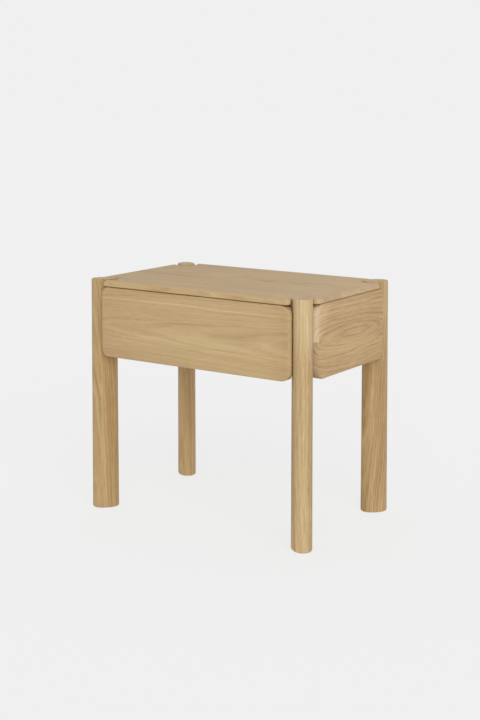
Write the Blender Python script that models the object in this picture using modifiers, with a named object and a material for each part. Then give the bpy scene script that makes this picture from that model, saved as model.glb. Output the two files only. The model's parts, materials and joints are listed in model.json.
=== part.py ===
"""Oak bedside table with one handle-less drawer.

Four oval legs stand at the corners and pass through notches in the top.
The side and back panels are coped over the legs and tenoned into them.
The drawer is a dovetailed box behind a coped show front, and it runs on a
pair of three-part telescopic slides.

Frame: metres, +Z up, -Y is the front, origin on the floor under the centre.
"""

import math

import bmesh
import bpy
from mathutils import Matrix, Vector

# ---------------------------------------------------------------- dimensions
MM = 0.001
GAP = 0.3 * MM  # between pieces that touch

LEG_X, LEG_Y = 250.0 * MM, 149.0 * MM  # leg centres
LEG_A, LEG_B = 27.2 * MM, 19.6 * MM  # half axes of the oval at the top
LEG_N = 2.2  # exponent of the oval
LEG_FLARE = 0.04  # the oval is this much larger at the floor
LEG_Z0, LEG_Z1 = 0.6 * MM, 501.2 * MM
LEG_STEPS = 40
LEG_ROUND = 3.0 * MM

TOP_X, TOP_Y = 273.2 * MM, 173.6 * MM  # half sizes of the top
TOP_Z0, TOP_Z1 = 486.0 * MM, 500.0 * MM
TOP_NOTCH = 1.2 * MM  # gap round each leg
TOP_LIP_R = 5.0 * MM  # rounding of the lips beside the legs
TOP_ROUND = 2.0 * MM

PANEL_Z0, PANEL_Z1 = 336.0 * MM, 485.6 * MM
PANEL_T = 20.0 * MM
PANEL_CORNER = 16.0 * MM
PANEL_ROUND = 2.5 * MM
PANEL_END = 7.5 * MM  # how far inboard of a leg's centre a panel ends
SIDE_FACE = 272.9 * MM
BACK_FACE = 173.4 * MM
FRONT_FACE = 174.0 * MM
FRONT_Z1 = 484.4 * MM
FRONT_GAP = 1.8 * MM  # between the moving front and the legs

TENON_IN, TENON_OUT = 6.0 * MM, 14.0 * MM  # tenon walls, outboard of the leg's centre
TENON_END = 1.0 * MM
TENON_Z0, TENON_Z1 = 355.0 * MM, 465.0 * MM

RAIL_X = 224.4 * MM
RAIL_Y0, RAIL_Y1 = -146.0 * MM, -108.0 * MM
RAIL_TENON_X = 237.5 * MM
RAIL_TENON_Y0, RAIL_TENON_Y1 = -147.0 * MM, -131.0 * MM
RAIL_SCREW_X, RAIL_SCREW_Y = 150.0 * MM, -127.0 * MM
TOP_RAIL_Z0, TOP_RAIL_Z1 = 468.0 * MM, 485.7 * MM
LOW_RAIL_Z0, LOW_RAIL_Z1 = 352.0 * MM, 368.0 * MM

BATTEN_X0, BATTEN_X1 = 224.7 * MM, 252.6 * MM
BATTEN_Y = 118.0 * MM
BATTEN_Z0, BATTEN_Z1 = 380.0 * MM, 446.0 * MM
CLEAT_X0 = 233.0 * MM
TOP_SCREW_X = 243.0 * MM
CLEAT_Z0, CLEAT_Z1 = 466.0 * MM, 485.7 * MM

SLIDE_Z = 405.0 * MM
SLIDE_X = 224.4 * MM  # cabinet side of the slide
SLIDE_Y0, SLIDE_Y1 = -151.0 * MM, 149.0 * MM
SHEET = 1.2 * MM

BOX_X = 211.4 * MM
BOX_T = 12.0 * MM
BOX_Y0, BOX_Y1 = -153.7 * MM, 146.0 * MM
BOX_Z0, BOX_Z1 = 372.0 * MM, 462.0 * MM
BOTTOM_Z0, BOTTOM_Z1 = 380.0 * MM, 386.0 * MM
GROOVE = 6.0 * MM
TAILS = (387.0 * MM, 417.0 * MM, 447.0 * MM)
TAIL_ROOT, TAIL_END = 8.0 * MM, 10.5 * MM  # half heights

PULL_R = 7.0 * MM  # finger groove behind the bottom edge of the front
PULL_Z = 347.5 * MM
PULL_X = 190.0 * MM

GLIDE_R, GLIDE_T = 12.0 * MM, 2.0 * MM

# ---------------------------------------------------------------- scene
for old in list(bpy.data.objects):
    bpy.data.objects.remove(old, do_unlink=True)


def collection(name):
    made = bpy.data.collections.new(name)
    bpy.context.scene.collection.children.link(made)
    return made


PARTS = collection("bedside_table")
CUTTERS = collection("cutters")
CUTTERS.hide_render = True


def material(name, colour, roughness, metallic=0.0):
    made = bpy.data.materials.new(name)
    made.use_nodes = True
    shader = made.node_tree.nodes["Principled BSDF"]
    shader.inputs["Base Color"].default_value = (*colour, 1.0)
    shader.inputs["Roughness"].default_value = roughness
    shader.inputs["Metallic"].default_value = metallic
    return made


OAK = material("oak", (0.50, 0.36, 0.20), 0.55)
OAK_BOX = material("oak_box", (0.55, 0.41, 0.24), 0.60)
PLY = material("plywood", (0.60, 0.48, 0.32), 0.60)
ZINC = material("zinc_steel", (0.62, 0.63, 0.65), 0.35, 1.0)
SCREW = material("screw_steel", (0.70, 0.62, 0.38), 0.35, 1.0)
FELT = material("glide", (0.16, 0.13, 0.11), 0.95)

# ---------------------------------------------------------------- helpers


def place(name, mesh, mat=None):
    obj = bpy.data.objects.new(name, mesh)
    PARTS.objects.link(obj)
    if mat is not None:
        mesh.materials.clear()
        mesh.materials.append(mat)
    return obj


def as_cutter(obj):
    PARTS.objects.unlink(obj)
    CUTTERS.objects.link(obj)
    obj.hide_render = True
    obj.display_type = "WIRE"
    return obj


def cube_into(bm, lo, hi):
    lo, hi = Vector(lo), Vector(hi)
    size = hi - lo
    matrix = Matrix.Translation((lo + hi) / 2) @ Matrix.Diagonal((*size, 1.0))
    return bmesh.ops.create_cube(bm, size=1.0, matrix=matrix)["verts"]


def finish(bm, name, mat=None):
    bmesh.ops.recalc_face_normals(bm, faces=bm.faces)
    mesh = bpy.data.meshes.new(name)
    bm.to_mesh(mesh)
    bm.free()
    return place(name, mesh, mat)


def box(name, lo, hi, mat=None):
    bm = bmesh.new()
    cube_into(bm, lo, hi)
    return finish(bm, name, mat)


def boxes_cutter(name, *pairs):
    """One cutter of several boxes that don't touch."""
    bm = bmesh.new()
    for lo, hi in pairs:
        cube_into(bm, lo, hi)
    return as_cutter(finish(bm, name))


def rod_into(bm, start, end, radius, steps=12):
    start, end = Vector(start), Vector(end)
    along = end - start
    turn = along.to_track_quat("Z", "Y").to_matrix().to_4x4()
    bmesh.ops.create_cone(
        bm,
        cap_ends=True,
        segments=steps,
        radius1=radius,
        radius2=radius,
        depth=along.length,
        matrix=Matrix.Translation((start + end) / 2) @ turn,
    )


def rods_cutter(name, rods, steps=12):
    bm = bmesh.new()
    for start, end, radius in rods:
        rod_into(bm, start, end, radius, steps)
    return as_cutter(finish(bm, name))


def bevel(obj, width, segments=2, angle=40.0):
    modifier = obj.modifiers.new("rounding", "BEVEL")
    modifier.width = width
    modifier.segments = segments
    modifier.limit_method = "ANGLE"
    modifier.angle_limit = math.radians(angle)
    modifier.use_clamp_overlap = True
    return modifier


def boolean(obj, other, operation="DIFFERENCE"):
    modifier = obj.modifiers.new(operation.lower(), "BOOLEAN")
    modifier.operation = operation
    modifier.solver = "EXACT"
    modifier.object = other
    return modifier


def spans(lo, hi):
    return tuple(min(a, b) for a, b in zip(lo, hi)), tuple(
        max(a, b) for a, b in zip(lo, hi)
    )


def oval(angle, grow=0.0, scale=1.0):
    """A point of the leg's outline, with its long axis along X."""
    c, s = math.cos(angle), math.sin(angle)
    a, b = LEG_A * scale + grow, LEG_B * scale + grow
    return (
        a * math.copysign(abs(c) ** (2 / LEG_N), c),
        b * math.copysign(abs(s) ** (2 / LEG_N), s),
    )


def leg_scale(z):
    return 1.0 + LEG_FLARE * (1.0 - z / TOP_Z1)


def leg_solid(name, sx, sy, grow=0.0, z0=LEG_Z0, z1=LEG_Z1, mat=None):
    """The leg as a primitive cylinder pulled to the oval, grown sideways by grow."""
    bm = bmesh.new()
    bmesh.ops.create_cone(
        bm, cap_ends=True, segments=LEG_STEPS, radius1=1.0, radius2=1.0, depth=1.0
    )
    turn = math.radians(45.0) * (1 if sx * sy > 0 else -1)
    c, s = math.cos(turn), math.sin(turn)
    for v in bm.verts:
        z = z0 if v.co.z < 0 else z1
        x, y = oval(math.atan2(v.co.y, v.co.x), grow, leg_scale(z))
        v.co = Vector((sx * LEG_X + c * x - s * y, sy * LEG_Y + s * x + c * y, z))
    return finish(bm, name, mat)


# ---------------------------------------------------------------- legs
CORNERS = {
    "front_left": (-1, -1),
    "front_right": (1, -1),
    "back_left": (-1, 1),
    "back_right": (1, 1),
}
for corner, (sx, sy) in CORNERS.items():
    leg = leg_solid("leg_" + corner, sx, sy, mat=OAK)
    bevel(leg, LEG_ROUND, 3, 60.0)
    pockets = [
        spans(  # side panel's tenon
            (
                sx * (LEG_X + TENON_IN - GAP),
                sy * (LEG_Y - TENON_END + GAP),
                TENON_Z0 - GAP,
            ),
            (sx * (LEG_X + TENON_OUT + GAP), sy * (LEG_Y - 60 * MM), TENON_Z1 + GAP),
        )
    ]
    if sy > 0:  # back panel's tenon
        pockets.append(
            spans(
                (
                    sx * (LEG_X - TENON_END + GAP),
                    sy * (LEG_Y + TENON_IN - GAP),
                    TENON_Z0 - GAP,
                ),
                (
                    sx * (LEG_X - 60 * MM),
                    sy * (LEG_Y + TENON_OUT + GAP),
                    TENON_Z1 + GAP,
                ),
            )
        )
    else:  # tenons of the two front rails
        for z0, z1 in ((TOP_RAIL_Z0, TOP_RAIL_Z1), (LOW_RAIL_Z0, LOW_RAIL_Z1)):
            pockets.append(
                spans(
                    (sx * (RAIL_TENON_X + GAP), RAIL_TENON_Y0 - GAP, z0 + 4 * MM - GAP),
                    (sx * 200 * MM, RAIL_TENON_Y1 + GAP, z1 - 4 * MM + GAP),
                )
            )
    boolean(leg, boxes_cutter("mortises_" + corner, *pockets))
    nail = rods_cutter(
        "nail_hole_" + corner,
        [
            (
                (sx * LEG_X, sy * LEG_Y, -5 * MM),
                (sx * LEG_X, sy * LEG_Y, 14.5 * MM),
                1.5 * MM,
            )
        ],
        8,
    )
    boolean(leg, nail)
    seat = rods_cutter(  # the glide sits in a shallow seat, and stands 0.6 mm proud
        "glide_seat_" + corner,
        [
            (
                (sx * LEG_X, sy * LEG_Y, -5 * MM),
                (sx * LEG_X, sy * LEG_Y, GLIDE_T + GAP),
                GLIDE_R + 0.5 * MM,
            )
        ],
        24,
    )
    boolean(leg, seat)

# ---------------------------------------------------------------- glides
for corner, (sx, sy) in CORNERS.items():
    profile = [
        (0.0, 14.0 * MM),
        (0.6 * MM, 14.0 * MM),
        (1.2 * MM, 12.0 * MM),
        (1.2 * MM, GLIDE_T),
        (GLIDE_R - 0.6 * MM, GLIDE_T),
        (GLIDE_R, GLIDE_T - 0.6 * MM),
        (GLIDE_R, 0.5 * MM),
        (GLIDE_R - 0.5 * MM, 0.0),
        (0.0, 0.0),
    ]
    mesh = bpy.data.meshes.new("glide_" + corner)
    mesh.from_pydata(
        [(r, 0, z) for r, z in profile], [(i, i + 1) for i in range(8)], []
    )
    glide = place("glide_" + corner, mesh, FELT)
    glide.location = (sx * LEG_X, sy * LEG_Y, 0)
    turned = glide.modifiers.new("turned", "SCREW")
    turned.steps = turned.render_steps = 16
    turned.use_merge_vertices = True
    turned.merge_threshold = 0.00001


# ---------------------------------------------------------------- top
def top_outline():
    """Half of the plan's corner: the front edge, a lip, the notch round the leg, a lip, the side edge."""
    grow = TOP_NOTCH
    face_x, face_y = TOP_X - LEG_X, TOP_Y - LEG_Y
    turn = math.radians(-45.0)
    c, s = math.cos(turn), math.sin(turn)

    def rim(angle, more):
        x, y = oval(angle, grow + more)
        return Vector((c * x - s * y, s * x + c * y))

    # lip at the front edge, inboard of the leg (negative x)
    front = None
    for i in range(7200):
        p = rim(2 * math.pi * i / 7200, TOP_LIP_R)
        q = rim(2 * math.pi * (i + 1) / 7200, TOP_LIP_R)
        level = -face_y + TOP_LIP_R
        if (p.y - level) * (q.y - level) <= 0 and p.x < 0:
            front = (p, 2 * math.pi * i / 7200)
    side = None
    for i in range(7200):
        p = rim(2 * math.pi * i / 7200, TOP_LIP_R)
        q = rim(2 * math.pi * (i + 1) / 7200, TOP_LIP_R)
        level = face_x - TOP_LIP_R
        if (p.x - level) * (q.x - level) <= 0 and p.y > 0:
            side = (p, 2 * math.pi * i / 7200)
    points = []
    touch = rim(front[1], 0.0)
    a0 = -math.pi / 2
    a1 = math.atan2(touch.y - front[0].y, touch.x - front[0].x)
    for k in range(6):
        a = a0 + (a1 - a0) * k / 5
        points.append(
            front[0] + Vector((math.cos(a), math.sin(a))) * TOP_LIP_R
        )
    steps = 18
    start, end = front[1], side[1]
    # the notch runs round the inner half of the oval
    if start < end:
        start += 2 * math.pi
    for k in range(1, steps):
        points.append(rim(start + (end - start) * k / steps, 0.0))
    touch = rim(side[1], 0.0)
    b0 = math.atan2(touch.y - side[0].y, touch.x - side[0].x)
    b1 = 0.0
    for k in range(6):
        b = b0 + (b1 - b0) * k / 5
        points.append(side[0] + Vector((math.cos(b), math.sin(b))) * TOP_LIP_R)
    return points


corner_points = [(LEG_X + p.x, -LEG_Y + p.y) for p in top_outline()]
ring = list(corner_points)
ring += [(x, -y) for x, y in reversed(corner_points)]
ring += [(-x, -y) for x, y in corner_points]
ring += [(-x, y) for x, y in reversed(corner_points)]


def plate(name, points, z0, z1, mat):
    """A flat outline: a 2D curve, filled and extruded, made a mesh and welded."""
    curve = bpy.data.curves.new(name, "CURVE")
    curve.dimensions = "2D"
    curve.fill_mode = "BOTH"
    curve.extrude = (z1 - z0) / 2
    spline = curve.splines.new("POLY")
    spline.points.add(len(points) - 1)
    for p, (x, y) in zip(spline.points, points):
        p.co = (x, y, 0, 1)
    spline.use_cyclic_u = True
    helper = bpy.data.objects.new(name + "_curve", curve)
    helper.location.z = (z0 + z1) / 2
    PARTS.objects.link(helper)
    bpy.context.view_layer.update()
    graph = bpy.context.evaluated_depsgraph_get()
    mesh = bpy.data.meshes.new_from_object(helper.evaluated_get(graph))
    mesh.transform(helper.matrix_world)
    bpy.data.objects.remove(helper, do_unlink=True)
    bm = bmesh.new()
    bm.from_mesh(mesh)
    bmesh.ops.remove_doubles(bm, verts=bm.verts, dist=1e-6)
    bmesh.ops.dissolve_limit(
        bm, angle_limit=math.radians(0.5), verts=bm.verts, edges=bm.edges
    )
    bmesh.ops.recalc_face_normals(bm, faces=bm.faces)
    bm.to_mesh(mesh)
    bm.free()
    mesh.name = name
    return place(name, mesh, mat)


top = plate("top_panel", ring, TOP_Z0, TOP_Z1, OAK)
bevel(top, TOP_ROUND, 2, 60.0)


# ---------------------------------------------------------------- panels
def panel(name, lo, hi, across, mat=OAK):
    """A board with large corner radii in its own plane and softened edges. across is the index of its thickness."""
    bm = bmesh.new()
    cube_into(bm, lo, hi)
    edges = [
        e
        for e in bm.edges
        if abs((e.verts[0].co - e.verts[1].co)[across]) > 0.5 * (hi[across] - lo[across])
    ]
    bmesh.ops.bevel(
        bm,
        geom=edges,
        offset=PANEL_CORNER,
        offset_type="OFFSET",
        segments=5,
        profile=0.5,
        affect="EDGES",
    )
    obj = finish(bm, name, mat)
    bevel(obj, PANEL_ROUND, 2, 40.0)
    return obj


copes = {
    c: as_cutter(
        leg_solid("cope_" + c, sx, sy, GAP, 300 * MM, 520 * MM)
    )
    for c, (sx, sy) in CORNERS.items()
}
for side, sx in (("left", -1), ("right", 1)):
    lo, hi = spans(
        (sx * (SIDE_FACE - PANEL_T), -(LEG_Y - PANEL_END), PANEL_Z0),
        (sx * SIDE_FACE, LEG_Y - PANEL_END, PANEL_Z1),
    )
    made = panel("side_panel_" + side, lo, hi, 0)
    boolean(made, copes["front_" + side])
    boolean(made, copes["back_" + side])
    for end, sy in (("front", -1), ("back", 1)):
        lo, hi = spans(
            (sx * (LEG_X + TENON_IN), sy * 118 * MM, TENON_Z0),
            (sx * (LEG_X + TENON_OUT), sy * (LEG_Y - TENON_END), TENON_Z1),
        )
        tenon = as_cutter(box(f"tenon_{side}_{end}", lo, hi))
        boolean(made, tenon, "UNION")
    # pilot holes of the batten and cleat screws
    holes = []
    for y in (-100 * MM, 100 * MM):
        holes.append(
            (
                (sx * (SIDE_FACE - PANEL_T - 5 * MM), y, 437 * MM),
                (sx * (BATTEN_X0 + 41 * MM), y, 437 * MM),
                2.0 * MM,
            )
        )
    for y in (-60 * MM, 60 * MM):
        holes.append(
            (
                (sx * (SIDE_FACE - PANEL_T - 5 * MM), y, 476 * MM),
                (sx * (BATTEN_X0 + 41 * MM), y, 476 * MM),
                2.0 * MM,
            )
        )
    boolean(made, rods_cutter("pilots_side_" + side, holes, 8))

back = panel(
    "back_panel",
    (-(LEG_X - PANEL_END), BACK_FACE - PANEL_T, PANEL_Z0),
    (LEG_X - PANEL_END, BACK_FACE, PANEL_Z1),
    1,
)
for side, sx in (("left", -1), ("right", 1)):
    boolean(back, copes["back_" + side])
    lo, hi = spans(
        (sx * 213 * MM, LEG_Y + TENON_IN, TENON_Z0),
        (sx * (LEG_X - TENON_END), LEG_Y + TENON_OUT, TENON_Z1),
    )
    boolean(back, as_cutter(box(f"tenon_back_{side}", lo, hi)), "UNION")


# ---------------------------------------------------------------- front rails
def front_rail(name, z0, z1):
    rail = box(name, (-RAIL_X, RAIL_Y0, z0), (RAIL_X, RAIL_Y1, z1), OAK_BOX)
    bevel(rail, 1.2 * MM, 1, 40.0)
    for side, sx in (("left", -1), ("right", 1)):
        boolean(rail, copes["front_" + side])
        lo, hi = spans(
            (sx * 213 * MM, RAIL_Y0 + 2 * MM, z0 + 4 * MM),
            (sx * RAIL_TENON_X, RAIL_TENON_Y1, z1 - 4 * MM),
        )
        boolean(rail, as_cutter(box(f"tenon_{name}_{side}", lo, hi)), "UNION")
    return rail


top_rail = front_rail("front_top_rail", TOP_RAIL_Z0, TOP_RAIL_Z1)
front_rail("front_bottom_rail", LOW_RAIL_Z0, LOW_RAIL_Z1)


# ---------------------------------------------------------------- screws
def screw(name, head_at, into, length, head_r, shank_r, flat=True, mat=SCREW):
    """A turned screw: its head's outer face is at head_at, and it drives along into."""
    tip = min(3.0 * MM, length / 3)
    if flat:
        profile = [
            (0.0, 0.0),
            (head_r, 0.0),
            (head_r, -0.4 * MM),
            (shank_r, -0.4 * MM - (head_r - shank_r)),
            (shank_r, -(length - tip)),
            (0.0, -length),
        ]
    else:
        profile = [
            (0.0, 0.0),
            (head_r * 0.75, 0.0),
            (head_r, -0.6 * MM),
            (head_r, -1.6 * MM),
            (shank_r, -1.6 * MM),
            (shank_r, -(length - tip)),
            (0.0, -length),
        ]
    mesh = bpy.data.meshes.new(name)
    mesh.from_pydata(
        [(r, 0, z) for r, z in profile],
        [(i, i + 1) for i in range(len(profile) - 1)],
        [],
    )
    obj = place(name, mesh, mat)
    obj.location = head_at
    obj.rotation_mode = "QUATERNION"
    obj.rotation_quaternion = (-Vector(into)).to_track_quat("Z", "Y")
    turned = obj.modifiers.new("turned", "SCREW")
    turned.steps = turned.render_steps = 10
    turned.use_merge_vertices = True
    turned.merge_threshold = 0.00001
    return obj


# ---------------------------------------------------------------- battens, cleats
for side, sx in (("left", -1), ("right", 1)):
    lo, hi = spans(
        (sx * BATTEN_X0, -BATTEN_Y, BATTEN_Z0), (sx * BATTEN_X1, BATTEN_Y, BATTEN_Z1)
    )
    batten = box("runner_batten_" + side, lo, hi, OAK_BOX)
    bevel(batten, 1.2 * MM, 1, 40.0)
    holes = []
    for y in (-100 * MM, 100 * MM):
        end = "front" if y < 0 else "back"
        # into the side panel, head sunk in a counterbore
        holes.append(
            (
                (sx * (BATTEN_X0 - 6 * MM), y, 437 * MM),
                (sx * (BATTEN_X0 + 4.3 * MM), y, 437 * MM),
                4.2 * MM,
            )
        )
        screw(
            f"batten_screw_{side}_{end}",
            (sx * (BATTEN_X0 + 0.7 * MM), y, 437 * MM),
            (sx, 0, 0),
            39.5 * MM,
            3.8 * MM,
            1.7 * MM,
        )
    boolean(batten, rods_cutter("counterbores_" + side, holes, 10))
    holes = []
    for y in (-100 * MM, 100 * MM):
        holes.append(
            (
                (sx * (BATTEN_X0 + 2 * MM), y, 437 * MM),
                (sx * (BATTEN_X1 + 8 * MM), y, 437 * MM),
                2.0 * MM,
            )
        )
        # the slide's own screws
        holes.append(
            (
                (sx * (BATTEN_X0 - 6 * MM), y, SLIDE_Z),
                (sx * (BATTEN_X0 + 14.3 * MM), y, SLIDE_Z),
                1.9 * MM,
            )
        )
    boolean(batten, rods_cutter("pilots_batten_" + side, holes, 8))

    lo, hi = spans(
        (sx * CLEAT_X0, -BATTEN_Y, CLEAT_Z0), (sx * BATTEN_X1, BATTEN_Y, CLEAT_Z1)
    )
    cleat = box("top_cleat_" + side, lo, hi, OAK_BOX)
    bevel(cleat, 1.2 * MM, 1, 40.0)
    holes = []
    for y, end in ((-60 * MM, "front"), (60 * MM, "back")):
        holes.append(
            (
                (sx * (CLEAT_X0 - 5 * MM), y, 476 * MM),
                (sx * (CLEAT_X0 + 3.9 * MM), y, 476 * MM),
                4.2 * MM,
            )
        )
        screw(
            f"cleat_screw_{side}_{end}",
            (sx * (CLEAT_X0 + 0.4 * MM), y, 476 * MM),
            (sx, 0, 0),
            31.5 * MM,
            3.8 * MM,
            1.7 * MM,
        )
    for y, end in ((-90 * MM, "front"), (90 * MM, "back")):
        holes.append(
            (
                (sx * TOP_SCREW_X, y, 460 * MM),
                (sx * TOP_SCREW_X, y, 470.0 * MM),
                4.2 * MM,
            )
        )
        screw(
            f"top_screw_{side}_{end}",
            (sx * TOP_SCREW_X, y, 466.4 * MM),
            (0, 0, 1),
            29.0 * MM,
            3.8 * MM,
            1.7 * MM,
        )
    boolean(cleat, rods_cutter("cleat_counterbores_" + side, holes, 10))
    holes = []
    for y in (-60 * MM, 60 * MM):
        holes.append(
            (
                (sx * (CLEAT_X0 + 2 * MM), y, 476 * MM),
                (sx * (BATTEN_X1 + 8 * MM), y, 476 * MM),
                2.0 * MM,
            )
        )
    for y in (-90 * MM, 90 * MM):
        holes.append(
            (
                (sx * TOP_SCREW_X, y, 468 * MM),
                (sx * TOP_SCREW_X, y, 492 * MM),
                2.0 * MM,
            )
        )
    boolean(cleat, rods_cutter("cleat_pilots_" + side, holes, 8))

holes = []
for x, side in ((-RAIL_SCREW_X, "left"), (RAIL_SCREW_X, "right")):
    holes.append(
        ((x, RAIL_SCREW_Y, 462 * MM), (x, RAIL_SCREW_Y, 472 * MM), 4.2 * MM)
    )
    screw(
        f"front_rail_screw_{side}",
        (x, RAIL_SCREW_Y, 468.4 * MM),
        (0, 0, 1),
        27.0 * MM,
        3.8 * MM,
        1.7 * MM,
    )
boolean(top_rail, rods_cutter("top_rail_counterbores", holes, 10))
holes = [
    ((x, RAIL_SCREW_Y, 470 * MM), (x, RAIL_SCREW_Y, 492 * MM), 2.0 * MM)
    for x in (-RAIL_SCREW_X, RAIL_SCREW_X)
]
boolean(top_rail, rods_cutter("top_rail_pilots", holes, 8))

# pilot holes in the underside of the top
holes = [
    ((sx * TOP_SCREW_X, y, 480 * MM), (sx * TOP_SCREW_X, y, 495.9 * MM), 2.0 * MM)
    for sx in (-1, 1)
    for y in (-90 * MM, 90 * MM)
]
holes += [
    ((x, RAIL_SCREW_Y, 480 * MM), (x, RAIL_SCREW_Y, 495.9 * MM), 2.0 * MM)
    for x in (-RAIL_SCREW_X, RAIL_SCREW_X)
]
boolean(top, rods_cutter("pilots_top", holes, 8))


# ---------------------------------------------------------------- slides
def channel(name, sx, depth0, depth1, half, lip, opens_to_drawer):
    """One member of a slide: a folded sheet channel, drawn in section and extruded along Y.

    depth is measured from the cabinet side towards the drawer.
    """
    s = SHEET
    if opens_to_drawer:  # web on the cabinet side
        outer = [
            (depth0, -half),
            (depth1, -half),
            (depth1, -half + lip),
            (depth1 - s, -half + lip),
            (depth1 - s, -half + s),
            (depth0 + s, -half + s),
        ]
    else:  # web on the drawer side
        outer = [
            (depth1, -half),
            (depth0, -half),
            (depth0, -half + lip),
            (depth0 + s, -half + lip),
            (depth0 + s, -half + s),
            (depth1 - s, -half + s),
        ]
    section = outer + [(d, -h) for d, h in reversed(outer)]
    curve = bpy.data.curves.new(name, "CURVE")
    curve.dimensions = "2D"
    curve.fill_mode = "BOTH"
    curve.extrude = (SLIDE_Y1 - SLIDE_Y0) / 2
    spline = curve.splines.new("POLY")
    spline.points.add(len(section) - 1)
    for p, (d, h) in zip(spline.points, section):
        p.co = (sx * (SLIDE_X - d), h, 0, 1)
    spline.use_cyclic_u = True
    helper = bpy.data.objects.new(name + "_curve", curve)
    helper.rotation_euler = (math.radians(90), 0, 0)
    helper.location = (0, (SLIDE_Y0 + SLIDE_Y1) / 2, SLIDE_Z)
    PARTS.objects.link(helper)
    bpy.context.view_layer.update()
    graph = bpy.context.evaluated_depsgraph_get()
    mesh = bpy.data.meshes.new_from_object(helper.evaluated_get(graph))
    mesh.transform(helper.matrix_world)
    bpy.data.objects.remove(helper, do_unlink=True)
    bm = bmesh.new()
    bm.from_mesh(mesh)
    bmesh.ops.remove_doubles(bm, verts=bm.verts, dist=1e-6)
    bmesh.ops.recalc_face_normals(bm, faces=bm.faces)
    bm.to_mesh(mesh)
    bm.free()
    return place(name, mesh, ZINC)


for side, sx in (("left", -1), ("right", 1)):
    fixed = channel(
        "slide_fixed_" + side, sx, 0.0, 10.0 * MM, 22.5 * MM, 3.6 * MM, True
    )
    channel("slide_middle_" + side, sx, 3.8 * MM, 11.0 * MM, 17.0 * MM, 3.6 * MM, True)
    runner = channel(
        "slide_drawer_" + side, sx, 6.4 * MM, 12.7 * MM, 11.0 * MM, 2.4 * MM, False
    )
    holes = [
        (
            (sx * (SLIDE_X - 4.4 * MM), y, SLIDE_Z),
            (sx * (SLIDE_X + 3.6 * MM), y, SLIDE_Z),
            1.9 * MM,
        )
        for y in (-100 * MM, 100 * MM)
    ]
    boolean(fixed, rods_cutter("slide_holes_" + side, holes, 8))
    holes = [
        ((sx * (BOX_X - 2.4 * MM), y, SLIDE_Z), (sx * (BOX_X + 3.6 * MM), y, SLIDE_Z), 1.9 * MM)
        for y in (-100 * MM, 100 * MM)
    ]
    boolean(runner, rods_cutter("runner_holes_" + side, holes, 8))
    for y, end in ((-100 * MM, "front"), (100 * MM, "back")):
        screw(
            f"slide_screw_{side}_{end}",
            (sx * (SLIDE_X - SHEET - GAP - 1.6 * MM), y, SLIDE_Z),
            (sx, 0, 0),
            17.0 * MM,
            3.3 * MM,
            1.6 * MM,
            False,
        )
        screw(
            f"drawer_screw_{side}_{end}",
            (sx * (SLIDE_X - 12.7 * MM + SHEET + GAP + 1.6 * MM), y, SLIDE_Z),
            (-sx, 0, 0),
            11.5 * MM,
            3.3 * MM,
            1.6 * MM,
            False,
        )


# ---------------------------------------------------------------- drawer box
def tail_into(bm, sx, y_root, y_end, z, grow=0.0, x0=None, x1=None):
    """One dovetail: a block whose end is taller than its root."""
    verts = cube_into(
        bm,
        *spans((sx * x0, min(y_root, y_end), z - 1), (sx * x1, max(y_root, y_end), z + 1)),
    )
    for v in verts:
        half = TAIL_END if abs(v.co.y - y_end) < abs(v.co.y - y_root) else TAIL_ROOT
        v.co.z = z + math.copysign(half + grow, v.co.z - z)


def tails(name, sx, y_root, y_end, grow, x0, x1):
    bm = bmesh.new()
    for z in TAILS:
        tail_into(bm, sx, y_root, y_end, z, grow, x0, x1)
    return as_cutter(finish(bm, name))


INNER_X = BOX_X - BOX_T
FRONT_ROOT = BOX_Y0 + BOX_T
BACK_ROOT = BOX_Y1 - BOX_T
groove = {}
for side, sx in (("left", -1), ("right", 1)):
    lo, hi = spans(
        (sx * INNER_X, FRONT_ROOT + GAP, BOX_Z0), (sx * BOX_X, BACK_ROOT - GAP, BOX_Z1)
    )
    made = box("drawer_side_" + side, lo, hi, OAK_BOX)
    # tails run 4 mm into the board, so that the join is whole
    front_tails = tails(
        "tails_front_" + side, sx, FRONT_ROOT + 4 * MM, BOX_Y0, 0.0, INNER_X, BOX_X
    )
    back_tails = tails(
        "tails_back_" + side, sx, BACK_ROOT - 4 * MM, BOX_Y1, 0.0, INNER_X, BOX_X
    )
    boolean(made, front_tails, "UNION")
    boolean(made, back_tails, "UNION")
    cut = boxes_cutter(
        "groove_side_" + side,
        spans(
            (
                sx * (INNER_X - 2 * MM),
                BOX_Y0 + BOX_T - GROOVE - GAP,
                BOTTOM_Z0 - GAP,
            ),
            (
                sx * (INNER_X + GROOVE + GAP),
                BOX_Y1 - BOX_T + GROOVE + GAP,
                BOTTOM_Z1 + GAP,
            ),
        ),
    )
    boolean(made, cut)
    holes = [
        ((sx * (BOX_X + 2.6 * MM), y, SLIDE_Z), (sx * (BOX_X - 8.9 * MM), y, SLIDE_Z), 1.9 * MM)
        for y in (-100 * MM, 100 * MM)
    ]
    boolean(made, rods_cutter("pilots_drawer_" + side, holes, 8))

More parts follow.
